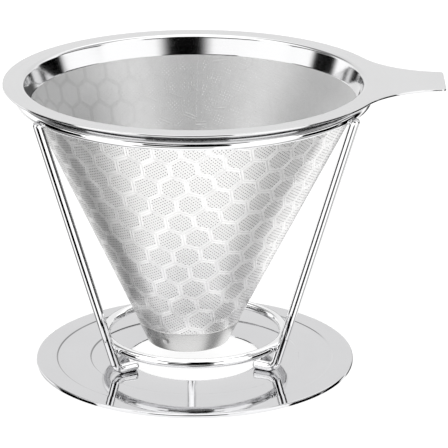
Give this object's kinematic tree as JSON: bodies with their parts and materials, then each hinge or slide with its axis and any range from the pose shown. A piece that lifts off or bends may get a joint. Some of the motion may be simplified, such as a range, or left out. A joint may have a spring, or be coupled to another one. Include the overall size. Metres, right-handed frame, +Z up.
{
  "type": "pour over coffee dripper",
  "caption": "Conical steel coffee filter with flat rim and handle, lifting out of a wire stand on a round drip plate.",
  "frame": {"origin": "centre of the bounding box at table height", "axes": "+X along the handle, away from the rim; +Z up, along the way the filter lifts"},
  "size_m": [0.1446, 0.125, 0.0976],
  "materials": {
    "polished_sheet": "polished stainless steel sheet",
    "perforated_sheet": "satin stainless steel with hexagonal fields of fine holes",
    "woven_mesh": "fine woven stainless mesh",
    "pressed_cup": "satin stainless steel",
    "bright_wire": "mirror polished wire",
    "base_sheet": "mirror polished pressed sheet"
  },
  "bodies": {
    "stand": {"base_plate": "base_sheet", "lower_ring": "bright_wire", "upper_ring": "bright_wire", "rear_leg": "bright_wire", "front_left_leg": "bright_wire", "front_right_leg": "bright_wire"},
    "filter": {"rim_with_handle": "polished_sheet", "perforated_cone": "perforated_sheet", "mesh_liner": "woven_mesh", "tip_cap": "pressed_cup"}
  },
  "joints": [
    {"name": "filter_lift", "type": "slide", "parent": "stand", "child": "filter", "axis": [0, 0, 1], "range_m": [0, 0.095]}
  ]
}
